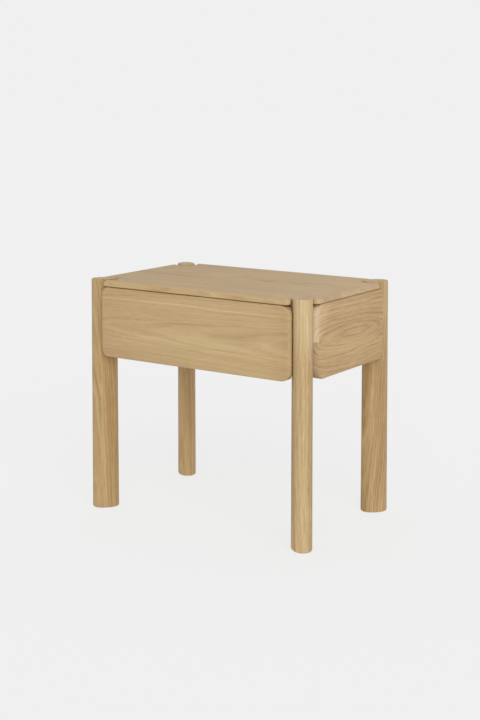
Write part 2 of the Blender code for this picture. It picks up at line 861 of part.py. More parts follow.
FRONT_SCREWS = [(x * MM, z * MM) for x in (-120, 120) for z in (402, 444)]
for name, y_root, y_end in (
    ("drawer_box_front", FRONT_ROOT, BOX_Y0),
    ("drawer_box_back", BACK_ROOT, BOX_Y1),
):
    made = box(
        name,
        (-BOX_X, min(y_root, y_end), BOX_Z0),
        (BOX_X, max(y_root, y_end), BOX_Z1),
        OAK_BOX,
    )
    out = math.copysign(4 * MM, y_end)
    for side, sx in (("left", -1), ("right", 1)):
        boolean(
            made,
            tails(
                f"sockets_{name}_{side}",
                sx,
                y_root - out,
                y_end,
                GAP,
                INNER_X - GAP,
                BOX_X + 3 * MM,
            ),
        )
    inner = math.copysign(2 * MM, y_end)
    cut = boxes_cutter(
        "groove_" + name,
        spans(
            (-(INNER_X + GROOVE + GAP), y_root - inner, BOTTOM_Z0 - GAP),
            (
                INNER_X + GROOVE + GAP,
                y_root + math.copysign(GROOVE + GAP, y_end),
                BOTTOM_Z1 + GAP,
            ),
        ),
    )
    boolean(made, cut)
    if name == "drawer_box_front":
        holes = [
            ((x, BOX_Y0 + 15 * MM, z), (x, BOX_Y0 - 3 * MM, z), 2.2 * MM)
            for x, z in FRONT_SCREWS
        ]
        boolean(made, rods_cutter("front_screw_holes", holes, 10))
        sinks = bmesh.new()
        for x, z in FRONT_SCREWS:
            turn = Vector((0, 1, 0)).to_track_quat("Z", "Y").to_matrix().to_4x4()
            bmesh.ops.create_cone(
                sinks,
                cap_ends=True,
                segments=10,
                radius1=1.0 * MM,
                radius2=6.0 * MM,
                depth=5.0 * MM,
                matrix=Matrix.Translation((x, BOX_Y0 + 10 * MM, z)) @ turn,
            )
        boolean(made, as_cutter(finish(sinks, "front_screw_sinks")))

box(
    "drawer_bottom",
    (
        -(INNER_X + GROOVE - GAP),
        BOX_Y0 + BOX_T - GROOVE + GAP,
        BOTTOM_Z0,
    ),
    (
        INNER_X + GROOVE - GAP,
        BOX_Y1 - BOX_T + GROOVE - GAP,
        BOTTOM_Z1,
    ),
    PLY,
)

# ---------------------------------------------------------------- show front
front = panel(
    "drawer_front",
    (-(LEG_X - PANEL_END), -FRONT_FACE, PANEL_Z0),
    (LEG_X - PANEL_END, -FRONT_FACE + PANEL_T, FRONT_Z1),
    1,
)
for side, sx in (("left", -1), ("right", 1)):
    wide = as_cutter(
        leg_solid("clear_" + side, sx, -1, FRONT_GAP, 300 * MM, 520 * MM)
    )
    boolean(front, wide)
bm = bmesh.new()
rod_into(
    bm,
    (-PULL_X, -FRONT_FACE + PANEL_T, PULL_Z),
    (PULL_X, -FRONT_FACE + PANEL_T, PULL_Z),
    PULL_R,
    16,
)
boolean(front, as_cutter(finish(bm, "finger_groove")))
holes = [
    ((x, BOX_Y0 + 4 * MM, z), (x, BOX_Y0 - 13.6 * MM, z), 2.0 * MM)
    for x, z in FRONT_SCREWS
]
boolean(front, rods_cutter("front_pilots", holes, 8))
for i, (x, z) in enumerate(FRONT_SCREWS):
    where = ("left" if x < 0 else "right") + ("_low" if z < 420 * MM else "_high")
    screw(
        "front_screw_" + where,
        (x, BOX_Y0 + 11.3 * MM, z),
        (0, -1, 0),
        24.0 * MM,
        3.8 * MM,
        1.7 * MM,
    )
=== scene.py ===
"""Looks of the oak bedside table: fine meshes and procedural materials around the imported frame."""

import json
import math

import bmesh
import bpy
from mathutils import Matrix, Vector


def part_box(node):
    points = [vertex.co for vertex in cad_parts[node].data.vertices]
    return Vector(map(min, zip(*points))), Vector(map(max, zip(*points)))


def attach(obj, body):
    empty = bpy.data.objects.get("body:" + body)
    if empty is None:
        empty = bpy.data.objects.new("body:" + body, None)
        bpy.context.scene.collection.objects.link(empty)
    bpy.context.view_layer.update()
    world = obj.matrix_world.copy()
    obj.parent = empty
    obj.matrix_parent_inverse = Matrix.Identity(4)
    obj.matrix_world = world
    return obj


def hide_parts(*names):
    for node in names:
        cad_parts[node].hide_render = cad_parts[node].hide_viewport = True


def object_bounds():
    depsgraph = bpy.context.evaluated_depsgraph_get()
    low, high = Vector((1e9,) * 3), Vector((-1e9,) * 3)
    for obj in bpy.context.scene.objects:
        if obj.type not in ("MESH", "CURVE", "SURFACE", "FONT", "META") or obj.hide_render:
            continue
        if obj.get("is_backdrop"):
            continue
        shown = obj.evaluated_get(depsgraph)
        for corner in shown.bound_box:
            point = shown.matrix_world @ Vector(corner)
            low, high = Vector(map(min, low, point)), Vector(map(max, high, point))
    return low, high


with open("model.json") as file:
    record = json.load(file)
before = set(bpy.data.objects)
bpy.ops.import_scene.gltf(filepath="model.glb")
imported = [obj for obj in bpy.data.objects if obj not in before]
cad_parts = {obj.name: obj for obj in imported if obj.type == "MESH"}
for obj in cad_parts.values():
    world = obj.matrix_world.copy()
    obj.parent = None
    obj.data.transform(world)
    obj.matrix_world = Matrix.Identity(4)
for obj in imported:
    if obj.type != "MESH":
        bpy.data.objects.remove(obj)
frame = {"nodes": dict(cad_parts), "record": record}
CAD_LO, CAD_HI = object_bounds()
CAD_LO, CAD_HI = CAD_LO.copy(), CAD_HI.copy()
MM = 0.001
SCENE = bpy.context.scene
PI = math.pi

# ---------------------------------------------------------------- places, read from the frame


def box(node):
    lo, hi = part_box(node)
    return Vector(lo), Vector(hi)


LEG_NODES = {
    "front_left": (-1, -1),
    "front_right": (1, -1),
    "back_left": (-1, 1),
    "back_right": (1, 1),
}


def leg_centre(corner):
    lo, hi = box("leg_" + corner)
    return (lo + hi) / 2


C0 = leg_centre("front_right")
LEG_X, LEG_Y = abs(C0.x), abs(C0.y)
LEG_LO, LEG_HI = box("leg_front_right")
LEG_A, LEG_B, LEG_N, LEG_FLARE = 27.2 * MM, 19.6 * MM, 2.2, 0.04
TOP_LO, TOP_HI = box("top_panel")
TOP_LIFT = 1.6 * MM  # the slab is this much thinner from below, and what carries it follows

# ---------------------------------------------------------------- node helpers


class Tree:
    """Short calls for building a material's nodes."""

    def __init__(self, name):
        self.material = bpy.data.materials.new(name)
        self.material.use_nodes = True
        self.tree = self.material.node_tree
        self.nodes, self.links = self.tree.nodes, self.tree.links
        self.shader = self.nodes["Principled BSDF"]

    def put(self, socket, value):
        if isinstance(value, bpy.types.NodeSocket):
            self.links.new(value, socket)
        elif value is not None:
            socket.default_value = value

    def math(self, op, a, b=None, c=None, clamp=False):
        n = self.nodes.new("ShaderNodeMath")
        n.operation, n.use_clamp = op, clamp
        for i, v in enumerate((a, b, c)):
            if v is not None:
                self.put(n.inputs[i], v)
        return n.outputs[0]

    def add(self, a, b):
        return self.math("ADD", a, b)

    def mul(self, a, b):
        return self.math("MULTIPLY", a, b)

    def vec(self, op, a, b=None, scale=None):
        n = self.nodes.new("ShaderNodeVectorMath")
        n.operation = op
        self.put(n.inputs[0], a)
        if b is not None:
            self.put(n.inputs[1], b)
        if scale is not None:
            self.put(n.inputs["Scale"], scale)
        return n.outputs["Value"] if op in ("LENGTH", "DOT_PRODUCT") else n.outputs[0]

    def join(self, x, y, z):
        n = self.nodes.new("ShaderNodeCombineXYZ")
        for i, v in enumerate((x, y, z)):
            self.put(n.inputs[i], v)
        return n.outputs[0]

    def split(self, v):
        n = self.nodes.new("ShaderNodeSeparateXYZ")
        self.put(n.inputs[0], v)
        return n.outputs

    def noise(self, vector, scale=1.0, detail=2.0, rough=0.5, distort=0.0, colour=False):
        n = self.nodes.new("ShaderNodeTexNoise")
        self.put(n.inputs["Vector"], vector)
        n.inputs["Scale"].default_value = scale
        n.inputs["Detail"].default_value = detail
        n.inputs["Roughness"].default_value = rough
        n.inputs["Distortion"].default_value = distort
        return n.outputs["Color" if colour else "Fac"]

    def white(self, w):
        n = self.nodes.new("ShaderNodeTexWhiteNoise")
        n.noise_dimensions = "1D"
        self.put(n.inputs["W"], w)
        return n.outputs

    def ramp(self, fac, stops, mode="EASE"):
        n = self.nodes.new("ShaderNodeValToRGB")
        n.color_ramp.interpolation = mode
        while len(n.color_ramp.elements) < len(stops):
            n.color_ramp.elements.new(0.5)
        for e, (pos, col) in zip(n.color_ramp.elements, stops):
            e.position = pos
            e.color = (
                (col, col, col, 1.0) if isinstance(col, (int, float)) else (*col, 1.0)
            )
        self.put(n.inputs[0], fac)
        return n.outputs[0]

    def smooth(self, value, lo, hi, out_lo=0.0, out_hi=1.0):
        n = self.nodes.new("ShaderNodeMapRange")
        n.interpolation_type = "SMOOTHSTEP"
        self.put(n.inputs["Value"], value)
        n.inputs["From Min"].default_value = lo
        n.inputs["From Max"].default_value = hi
        n.inputs["To Min"].default_value = out_lo
        n.inputs["To Max"].default_value = out_hi
        return n.outputs[0]

    def mix(self, fac, a, b, blend="MIX"):
        n = self.nodes.new("ShaderNodeMix")
        n.data_type, n.blend_type = "RGBA", blend
        self.put(n.inputs[0], fac)
        self.put(n.inputs[6], a if not isinstance(a, tuple) else (*a, 1.0)[:4])
        self.put(n.inputs[7], b if not isinstance(b, tuple) else (*b, 1.0)[:4])
        return n.outputs[2]

    def coords(self):
        n = self.nodes.new("ShaderNodeTexCoord")
        return n.outputs["Object"], n.outputs["Normal"]

    def bump(self, height, distance, strength=1.0, normal=None):
        n = self.nodes.new("ShaderNodeBump")
        n.inputs["Strength"].default_value = strength
        n.inputs["Distance"].default_value = distance
        self.put(n.inputs["Height"], height)
        if normal is not None:
            self.put(n.inputs["Normal"], normal)
        return n.outputs[0]


AXES = {"x": 0, "y": 1, "z": 2}
# the two ends of oak's range, mixed by the figure
DARK = (0.345, 0.205, 0.082)
LIGHT = (0.665, 0.490, 0.278)
END_DARK = (0.335, 0.210, 0.105)
END_LIGHT = (0.665, 0.510, 0.330)


def oak(
    name,
    along="x",
    across="z",
    centre=(0, 0, 0),
    pith=(0.0, -0.06),
    slope=0.045,
    ring=4.0 * MM,
    figure=0.16,
    streak=0.12,
    tone=0.0,
    wobble=1.0,
    bow=0.0,
    staves=(),
    stave_tone=0.10,
    grey=0.0,
    seed=0.0,
    lights=(),
    tone_and_painted_shade_planes=(),
    end_tones=(),
    end_from=0.45,
    end_to=0.90,
    end_rag=0.0,
    rough=0.50,
    hue=0.0,
    specular=0.30,
    dark=DARK,
    light=LIGHT,
):
    """Solid oak: growth rings round a pith that runs along the board, seen on its faces as straight grain and arches,
    and on its ends as arcs.

    centre and pith place the rings: pith is (across, depth) from centre. slope makes the arches, bow closed loops.
    staves are the glue lines' places across the board.
    lights are (place across, half width, amount) of single paler or darker streaks. The planes are (x, y, z, from, to,
    amount): the tone's slope along a direction from the centre. They serve both as the wood's own tone and as painted
    light and shade, such as a round leg's lit and shaded sides.
    end_tones are the tones of the staves' rounded ends.
    """
    t = Tree(name)
    position, normal = t.coords()
    i, j = AXES[along], AXES[across]
    k = 3 - i - j
    raw = t.split(position)
    a = t.add(raw[i], -centre[i])
    w = t.add(raw[j], -centre[j])
    d = t.add(raw[k], -centre[k])
    n = t.split(normal)
    ragged = t.noise(t.join(t.mul(a, 60.0), t.mul(w, 240.0), t.mul(d, 60.0)), 1.0, 3.0, 0.6)
    end = t.add(t.math("ABSOLUTE", n[i]), t.mul(t.add(ragged, -0.5), end_rag))
    end = t.smooth(end, end_from, end_to)

    # each stave is a board of its own: it shifts the figure and the tone
    stave = None
    for cut in staves:
        step = t.math("GREATER_THAN", w, cut)
        stave = step if stave is None else t.add(stave, step)
    if stave is not None:
        rand = t.white(t.add(stave, 3.7 + seed))
        shift = t.vec("SUBTRACT", rand["Color"], (0.5, 0.5, 0.5))
        s = t.split(shift)
        a2 = t.add(a, t.mul(s[0], 0.9))
        w2 = t.add(w, t.mul(s[1], 0.05))
        d2 = t.add(d, t.mul(s[2], 0.03))
    else:
        a2, w2, d2 = a, w, d

    # slow wander of the trunk
    slow = t.join(t.mul(a2, 3.2), t.mul(w2, 7.0), t.mul(d2, 7.0))
    slow = t.vec("ADD", slow, (seed * 1.7, seed * 0.9, seed * 2.3))
    wander = t.split(
        t.vec("SUBTRACT", t.noise(slow, 1.0, 2.0, 0.45, colour=True), (0.5, 0.5, 0.5))
    )
    ww = t.add(w2, t.mul(wander[0], 0.030 * wobble))
    dd = t.add(d2, t.mul(wander[1], 0.022 * wobble))
    px = t.add(ww, -pith[0])
    py = t.add(dd, -pith[1])
    radius = t.math(
        "SQRT", t.add(t.mul(px, px), t.mul(py, py))
    )
    radius = t.add(radius, t.mul(a2, -slope))
    if bow:
        radius = t.add(radius, t.mul(t.mul(a2, a2), bow))
    radius = t.add(radius, t.mul(wander[2], 0.010 * wobble))
    # rings of uneven width
    fine = t.noise(t.join(t.mul(a2, 9.0), t.mul(w2, 60.0), t.mul(d2, 60.0)), 1.0, 2.0)
    growth = t.noise(t.join(t.mul(radius, 0.33 / ring), seed + 4.0, t.mul(a2, 1.2)), 1.0, 2.0)
    phase = t.add(t.mul(radius, 1.0 / ring), t.mul(t.add(fine, -0.5), 0.75))
    phase = t.add(phase, t.mul(t.add(growth, -0.5), 3.4))
    uneven = t.noise(t.join(t.mul(phase, 0.37), seed, 0.0), 1.0, 1.0)
    cycle = t.math("FRACT", phase)
    profile = t.ramp(
        cycle, [(0.0, 0.42), (0.10, 0.0), (0.30, 0.30), (0.62, 1.0), (0.93, 0.80), (1.0, 0.42)]
    )
    strength = t.smooth(uneven, 0.32, 0.68, 0.15, 1.60)
    ringed = t.mul(t.add(profile, -0.55), strength)

    # lines of pores that follow the rings, and fibres that don't
    turn = t.math("ARCTAN2", px, py)
    long1 = t.noise(
        t.join(t.mul(a2, 3.0), t.mul(radius, 235.0), t.mul(turn, 1.6)), 1.0, 4.0, 0.60
    )
    long2 = t.noise(
        t.join(t.mul(a2, 14.0), t.mul(ww, 520.0), t.mul(dd, 520.0)), 1.0, 3.0, 0.65
    )
    fleck = t.noise(
        t.join(t.mul(a2, 38.0), t.mul(w2, 330.0), t.mul(d2, 330.0)), 1.0, 3.0, 0.6
    )
    broad = t.noise(t.join(t.mul(a2, 1.6), t.mul(w2, 16.0), t.mul(d2, 16.0)), 1.0, 2.0)
    broad = t.add(broad, -0.5)

    # pores: short dark dashes, denser in the early wood
    pore_at = t.join(t.mul(a2, 75.0), t.mul(w2, 1500.0), t.mul(d2, 1500.0))
    pore = t.smooth(t.noise(pore_at, 1.0, 1.0, 0.5), 0.60, 0.74)
    early = t.smooth(cycle, 0.45, 0.08, 0.25, 1.0)
    pore = t.mul(pore, early)

    value = t.add(0.5 + tone, t.mul(ringed, figure))
    value = t.add(value, t.mul(t.add(long1, -0.5), streak * 3.6))
    value = t.add(value, t.mul(t.add(long2, -0.5), streak * 2.2))
    value = t.add(value, t.mul(t.add(fleck, -0.5), streak * 2.4))
    value = t.add(value, t.mul(broad, 0.45))
    if stave is not None:
        value = t.add(value, t.mul(t.add(rand["Value"], -0.5), stave_tone))
    for place, half, amount in lights:
        near = t.math("ABSOLUTE", t.add(ww, -place))
        value = t.add(value, t.smooth(near, half, 0.0, 0.0, amount))
    offset = t.vec("SUBTRACT", position, tuple(centre)) if tone_and_painted_shade_planes else None
    # painted light and shade where a plane is set for it, such as a round leg's lit and shaded sides; elsewhere a slope
    # in the wood's tone
    for x, y, z, begin, finish, amount in tone_and_painted_shade_planes:
        along_it = t.vec("DOT_PRODUCT", offset, (x, y, z))
        value = t.add(value, t.smooth(along_it, begin, finish, 0.0, amount))
    value = t.math("ADD", value, 0.0, clamp=True)

    face = t.mix(value, dark, light)
    # rosier where the broad tone is dark, greener where it is light
    face = t.mix(t.smooth(broad, -0.18, 0.18), face, t.mix(1.0, face, (0.985, 1.0, 0.955), "MULTIPLY"))
    face = t.mix(t.mul(pore, 0.55), face, t.mix(1.0, face, (0.60, 0.53, 0.46), "MULTIPLY"))
    if grey:
        face = t.mix(grey, face, t.mix(1.0, face, (0.93, 0.96, 1.10), "MULTIPLY"))
    if hue:
        face = t.mix(hue, face, t.mix(1.0, face, (1.02, 0.94, 0.84), "MULTIPLY"))

    # ends: arcs of open pores, duller and greyer
    end_value = t.add(t.mul(ringed, 0.36), 0.52)
    end_value = t.add(end_value, t.mul(t.add(long2, -0.5), 0.6))
    end_value = t.add(end_value, t.mul(broad, 0.4))
    for cut_lo, cut_hi, amount in end_tones:
        inside = t.mul(
            t.math("GREATER_THAN", w, cut_lo), t.math("LESS_THAN", w, cut_hi)
        )
        end_value = t.add(end_value, t.mul(inside, amount))
    end_value = t.math("ADD", end_value, 0.0, clamp=True)
    end_face = t.mix(end_value, END_DARK, END_LIGHT)
    colour = t.mix(end, face, end_face)
    t.put(t.shader.inputs["Base Color"], colour)

    # matt oil: a little glossier on late wood, dull in the pores
    gloss = t.add(rough, t.mul(profile, -0.06))
    gloss = t.add(gloss, t.mul(pore, 0.20))
    gloss = t.add(gloss, t.mul(end, 0.12))
    gloss = t.add(gloss, t.mul(broad, 0.08))
    t.put(t.shader.inputs["Roughness"], t.math("ADD", gloss, 0.0, clamp=True))
    t.shader.inputs["Specular IOR Level"].default_value = specular
    height = t.add(t.mul(pore, -1.0), t.mul(long2, 0.35))
    height = t.add(height, t.mul(profile, 0.25))
    t.put(t.shader.inputs["Normal"], t.bump(height, 0.12 * MM, 0.55))
    return t.material


def metal(name, colour, rough, streak_axis="y", yellow=0.0):
    """Plated steel: faint rolling marks, and a mottled plating."""
    t = Tree(name)
    position, _ = t.coords()
    raw = t.split(position)
    i = AXES[streak_axis]
    stretched = [t.mul(raw[m], 12.0 if m == i else 900.0) for m in range(3)]
    marks = t.noise(t.join(*stretched), 1.0, 3.0, 0.6)
    cloud = t.noise(position, 90.0, 3.0, 0.55)
    base = t.mix(t.smooth(cloud, 0.3, 0.7), tuple(c * 0.86 for c in colour), colour)
    if yellow:
        base = t.mix(
            t.smooth(t.noise(position, 260.0, 2.0), 0.35, 0.65, 0.0, yellow),
            base,
            (colour[0] * 1.02, colour[1] * 0.90, colour[2] * 0.70),
        )
    t.put(t.shader.inputs["Base Color"], base)
    t.shader.inputs["Metallic"].default_value = 1.0
    gloss = t.add(rough, t.mul(t.add(marks, -0.5), 0.16))
    gloss = t.add(gloss, t.mul(t.add(cloud, -0.5), 0.12))
    t.put(t.shader.inputs["Roughness"], gloss)
    t.put(t.shader.inputs["Normal"], t.bump(marks, 0.02 * MM, 0.5))
    return t.material


def plastic(name, colour, rough):
    """Moulded plastic with a fine spark-eroded grain and scuffs."""
    t = Tree(name)
    position, _ = t.coords()
    grain = t.noise(position, 2600.0, 2.0, 0.6)
    scuff = t.noise(position, 160.0, 4.0, 0.7)
    base = t.mix(t.smooth(scuff, 0.45, 0.75), colour, tuple(c * 1.55 for c in colour))
    t.put(t.shader.inputs["Base Color"], base)
    t.put(t.shader.inputs["Roughness"], t.add(rough, t.mul(scuff, 0.14)))
    t.put(t.shader.inputs["Normal"], t.bump(grain, 0.03 * MM, 0.6))
    return t.material


def plywood(name):
    """Lacquered plywood: a rotary-cut face with its grain along X, and plies on its edges."""
    t = Tree(name)
    position, normal = t.coords()
    raw, n = t.split(position), t.split(normal)
    slow = t.join(t.mul(raw[0], 2.0), t.mul(raw[1], 9.0), 4.0)
    wander = t.noise(slow, 1.0, 3.0, 0.5)
    bands = t.math("SINE", t.add(t.mul(raw[1], 140.0), t.mul(wander, 46.0)))
    fibre = t.noise(t.join(t.mul(raw[0], 10.0), t.mul(raw[1], 520.0), 0.0), 1.0, 3.0, 0.6)
    value = t.add(t.mul(bands, 0.10), t.mul(fibre, 0.55))
    value = t.add(value, t.mul(wander, 0.35))
    face = t.mix(value, (0.47, 0.345, 0.215), (0.69, 0.565, 0.405))
    ply = t.math("FRACT", t.mul(raw[2], 1.0 / (2.4 * MM)))
    edge = t.mix(
        t.smooth(ply, 0.40, 0.60), (0.36, 0.245, 0.135), (0.64, 0.51, 0.35)
    )
    flat = t.smooth(t.math("ABSOLUTE", n[2]), 0.4, 0.8)
    t.put(t.shader.inputs["Base Color"], t.mix(flat, edge, face))
    t.put(t.shader.inputs["Roughness"], t.add(0.42, t.mul(fibre, 0.16)))
    t.put(t.shader.inputs["Normal"], t.bump(fibre, 0.05 * MM, 0.5))
    return t.material


# ---------------------------------------------------------------- mesh helpers


def dress(obj, material, smooth=True, angle=35.0):
    obj.data.materials.clear()
    obj.data.materials.append(material)
    if smooth:
        obj.data.shade_smooth()
        obj.data.set_sharp_from_angle(angle=math.radians(angle))


def new_object(name, bm):
    bmesh.ops.recalc_face_normals(bm, faces=bm.faces)
    mesh = bpy.data.meshes.new(name)
    bm.to_mesh(mesh)
    bm.free()
    obj = bpy.data.objects.new(name, mesh)
    SCENE.collection.objects.link(obj)
    return obj


def loft(name, rings):
    """A closed skin through rings of equal count, with a flat face at either end."""
    bm = bmesh.new()
    rows = [[bm.verts.new(p) for p in ring] for ring in rings]
    count = len(rows[0])
    for lower, upper in zip(rows, rows[1:]):
        for i in range(count):
            j = (i + 1) % count
            bm.faces.new((lower[i], lower[j], upper[j], upper[i]))
    bm.faces.new(list(reversed(rows[0])))
    bm.faces.new(rows[-1])
    return new_object(name, bm)


def apply_all(obj):
    """Evaluates the modifiers into the mesh."""
    bpy.context.view_layer.update()
    graph = bpy.context.evaluated_depsgraph_get()
    mesh = bpy.data.meshes.new_from_object(obj.evaluated_get(graph))
    obj.modifiers.clear()
    old = obj.data
    obj.data = mesh
    if old.users == 0:
        bpy.data.meshes.remove(old)


def cut(obj, *cutters):
    for other in cutters:
        m = obj.modifiers.new("cut", "BOOLEAN")
        m.operation, m.solver, m.object = "DIFFERENCE", "EXACT", other
    apply_all(obj)
    for other in cutters:
        bpy.data.objects.remove(other, do_unlink=True)


def weigh(obj):
    """Flat faces keep their own normals, so that they stay flat beside roundings."""
    m = obj.modifiers.new("weighted", "WEIGHTED_NORMAL")
    m.mode, m.weight, m.keep_sharp = "FACE_AREA", 50, True
    apply_all(obj)


def oval(angle, grow=0.0, scale=1.0):
    c, s = math.cos(angle), math.sin(angle)
    a, b = LEG_A * scale + grow, LEG_B * scale + grow
    return (
        a * math.copysign(abs(c) ** (2 / LEG_N), c),
        b * math.copysign(abs(s) ** (2 / LEG_N), s),
    )


def leg_ring(sx, sy, z, grow, steps=112):
    turn = math.radians(45.0) * (1 if sx * sy > 0 else -1)
    c, s = math.cos(turn), math.sin(turn)
    scale = 1.0 + LEG_FLARE * (1.0 - z / TOP_HI.z)
    ring = []
    for i in range(steps):
        x, y = oval(2 * PI * i / steps, grow, scale)
        ring.append(
            Vector((sx * LEG_X + c * x - s * y, sy * LEG_Y + s * x + c * y, z))
        )
    return ring


def leg_solid(name, sx, sy, z0, z1, grow=0.0, rounding=0.0, levels=2):
    rings = []
    steps = 7
    if rounding:
        for i in range(steps):
            t = PI / 2 * i / steps
            rings.append(
                leg_ring(
                    sx,
                    sy,
                    z0 + rounding * (1 - math.sin(t)),
                    grow - rounding * (1 - math.cos(t)),
                )
            )
        rings.reverse()
        # from the flat end outwards
        rings = rings[::-1][::-1]
        rings = sorted(rings, key=lambda r: r[0].z)
    lo, hi = z0 + rounding, z1 - rounding
    for i in range(levels):
        rings.append(leg_ring(sx, sy, lo + (hi - lo) * i / (levels - 1), grow))
    if rounding:
        for i in range(1, steps + 1):
            t = PI / 2 * i / steps
            rings.append(
                leg_ring(
                    sx,
                    sy,
                    hi + rounding * math.sin(t),
                    grow - rounding * (1 - math.cos(t)),
                )
            )
    return loft(name, rings)


# ---------------------------------------------------------------- legs
# Painted light and shade: the planes along (-0.826, -0.564) and (0.826, 0.564), the camera's left and right, make each
# round leg lighter or darker towards its left and right edges, as light falls round it. The planes along Z make a leg
# lighter towards the top.
LEG_LOOKS = {
    "front_right": dict(
        pith=(0.046, 0.030), slope=0.010, tone=0.03, figure=0.26, seed=1.3, streak=0.34, ring=3.6 * MM,
        tone_and_painted_shade_planes=((-0.826, -0.564, 0, 6 * MM, 24 * MM, -0.36), (0.826, 0.564, 0, 6 * MM, 22 * MM, -0.14), (0, 0, 1, 0.10, 0.20, 0.34)),
    ),
    "front_left": dict(
        pith=(0.006, 0.040), slope=0.040, tone=-0.25, figure=0.20, seed=4.1, streak=0.21, ring=4.0 * MM,
        tone_and_painted_shade_planes=((0.826, 0.564, 0, -2 * MM, 20 * MM, -0.03), (-0.826, -0.564, 0, 10 * MM, 22 * MM, 0.12)), hue=0.12,
    ),
    "back_right": dict(
        pith=(0.010, 0.034), slope=-0.050, tone=-0.25, figure=0.22, seed=7.9, streak=0.23, ring=3.8 * MM,
        tone_and_painted_shade_planes=((-0.826, -0.564, 0, 8 * MM, 22 * MM, -0.10), (0, 0, 1, 0.06, 0.18, 0.18)), hue=0.0,
    ),
    "back_left": dict(
        pith=(0.020, 0.030), slope=0.014, tone=-0.14, figure=0.20, seed=9.2, streak=0.20, ring=3.8 * MM, hue=0.25,
        tone_and_painted_shade_planes=((-0.826, -0.564, 0, 8 * MM, 22 * MM, -0.10), (0.826, 0.564, 0, 8 * MM, 20 * MM, 0.14)),
    ),
}
for corner, (sx, sy) in LEG_NODES.items():
    node = "leg_" + corner
    lo, hi = box(node)
    leg = leg_solid(node + "_turned", sx, sy, lo.z, hi.z, 0.0, 3.2 * MM, 12)
    bm = bmesh.new()
    bmesh.ops.create_cone(
        bm,
        cap_ends=True,
        segments=64,
        radius1=12.5 * MM,
        radius2=12.5 * MM,
        depth=4.6 * MM,
        matrix=Matrix.Translation((sx * LEG_X, sy * LEG_Y, 0.0)),
    )
    cut(leg, new_object("glide_seat", bm))
    look = oak(
        "oak_" + node,
        along="z",
        across="x",
        centre=(sx * LEG_X, sy * LEG_Y, 0.25),
        wobble=0.55,
        end_from=0.92,
        end_to=0.995,
        specular=0.20,
        rough=0.54,
        **LEG_LOOKS[corner],
    )
    dress(leg, look)
    weigh(leg)
    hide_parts(node)
    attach(leg, "carcass")


# ---------------------------------------------------------------- top
NOTCH = 1.3 * MM
FACE_X, FACE_Y = TOP_HI.x - LEG_X, TOP_HI.y - LEG_Y


def rim(angle, more):
    """The edge of the notch round the front right leg, from the leg's centre."""
    turn = math.radians(-45.0)
    c, s = math.cos(turn), math.sin(turn)
    x, y = oval(angle, NOTCH + more)
    return Vector((c * x - s * y, s * x + c * y))


def crossing(inset):
    """Where the notch's edge and the two outer edges meet once all are inset: two points, with their angles on the notch."""
    found = [None, None]
    steps = 3600
    points = [rim(2 * PI * i / steps, inset) for i in range(steps + 1)]
    for i, (p, q) in enumerate(zip(points, points[1:])):
        for k, (axis, level, side) in enumerate(
            ((1, inset - FACE_Y, p.x < 0), (0, FACE_X - inset, p.y > 0))
        ):
            if side and (p[axis] - level) * (q[axis] - level) <= 0 and p[axis] != q[axis]:
                f = (level - p[axis]) / (q[axis] - p[axis])
                found[k] = (p.lerp(q, f), 2 * PI * (i + f) / steps)
    return found


def top_corner(inset, lip):
    """The outline at the front right corner once inset: along the front edge, round the lip, the notch, the other lip, up the side edge."""
    (front, f_angle), (side, s_angle) = crossing(lip)
    (f_meet, f_limit), (s_meet, s_limit) = crossing(max(inset, lip))
    if f_angle < s_angle:
        f_angle += 2 * PI
    if f_limit < s_limit:
        f_limit += 2 * PI
    out = []
    near = [24, 20, 17, 14, 12, 10, 8.5, 7, 5.5, 4, 3, 2, 1]
    for d in near:
        p = Vector((front.x - d * MM, inset - FACE_Y))
        out.append(f_meet.copy() if inset > lip and p.x > f_meet.x else p)
    touch = rim(f_angle, 0.0)
    a0, a1 = -PI / 2, math.atan2(touch.y - front.y, touch.x - front.x)
    for k in range(13):
        a = a0 + (a1 - a0) * k / 12
        n = Vector((math.cos(a), math.sin(a)))
        out.append(f_meet.copy() if inset >= lip else front + n * (lip - inset))
    count = 56
    for k in range(1, count):
        angle = f_angle + (s_angle - f_angle) * k / count
        if inset > lip:
            angle = min(max(angle, s_limit), f_limit)
        out.append(rim(angle, inset))
    touch = rim(s_angle, 0.0)
    b0, b1 = math.atan2(touch.y - side.y, touch.x - side.x), 0.0
    for k in range(13):
        b = b0 + (b1 - b0) * k / 12
        n = Vector((math.cos(b), math.sin(b)))
        out.append(s_meet.copy() if inset >= lip else side + n * (lip - inset))
    for d in reversed(near):
        p = Vector((FACE_X - inset, side.y + d * MM))
        out.append(s_meet.copy() if inset > lip and p.y < s_meet.y else p)
    return [Vector((LEG_X + p.x, -LEG_Y + p.y)) for p in out]


def slab(name, z0, z1, over=8.0 * MM, under=1.8 * MM):
    def outline(inset, z):
        corners = []
        for fx, fy, lip in ((1, 1, 10.5), (1, -1, 9.5), (-1, -1, 10.0), (-1, 1, 7.0)):
            quarter = top_corner(inset, lip * MM)
            made = [Vector((p.x * fx, p.y * fy)) for p in quarter]
            corners.append(made if fx * fy > 0 else made[::-1])
        ring = []
        for points, following in zip(corners, corners[1:] + corners[:1]):
            ring += points
            ring += [points[-1].lerp(following[0], k / 8) for k in range(1, 8)]
        return [Vector((p.x, p.y, z)) for p in ring]

    rings = []
    for i in range(4):
        t = PI / 2 * i / 3
        rings.append(outline(under * (1 - math.sin(t)), z0 + under * (1 - math.cos(t))))
    steps = 14
    for i in range(steps + 1):
        t = PI / 2 * i / steps
        rings.append(outline(over * (1 - math.cos(t)), z1 - over * (1 - math.sin(t))))
    obj = loft(name, rings)
    bm = bmesh.new()
    bm.from_mesh(obj.data)
    bmesh.ops.remove_doubles(bm, verts=bm.verts, dist=2e-6)
    bmesh.ops.dissolve_degenerate(bm, dist=2e-6, edges=bm.edges)
    bmesh.ops.recalc_face_normals(bm, faces=bm.faces)
    bm.to_mesh(obj.data)
    bm.free()
    return obj


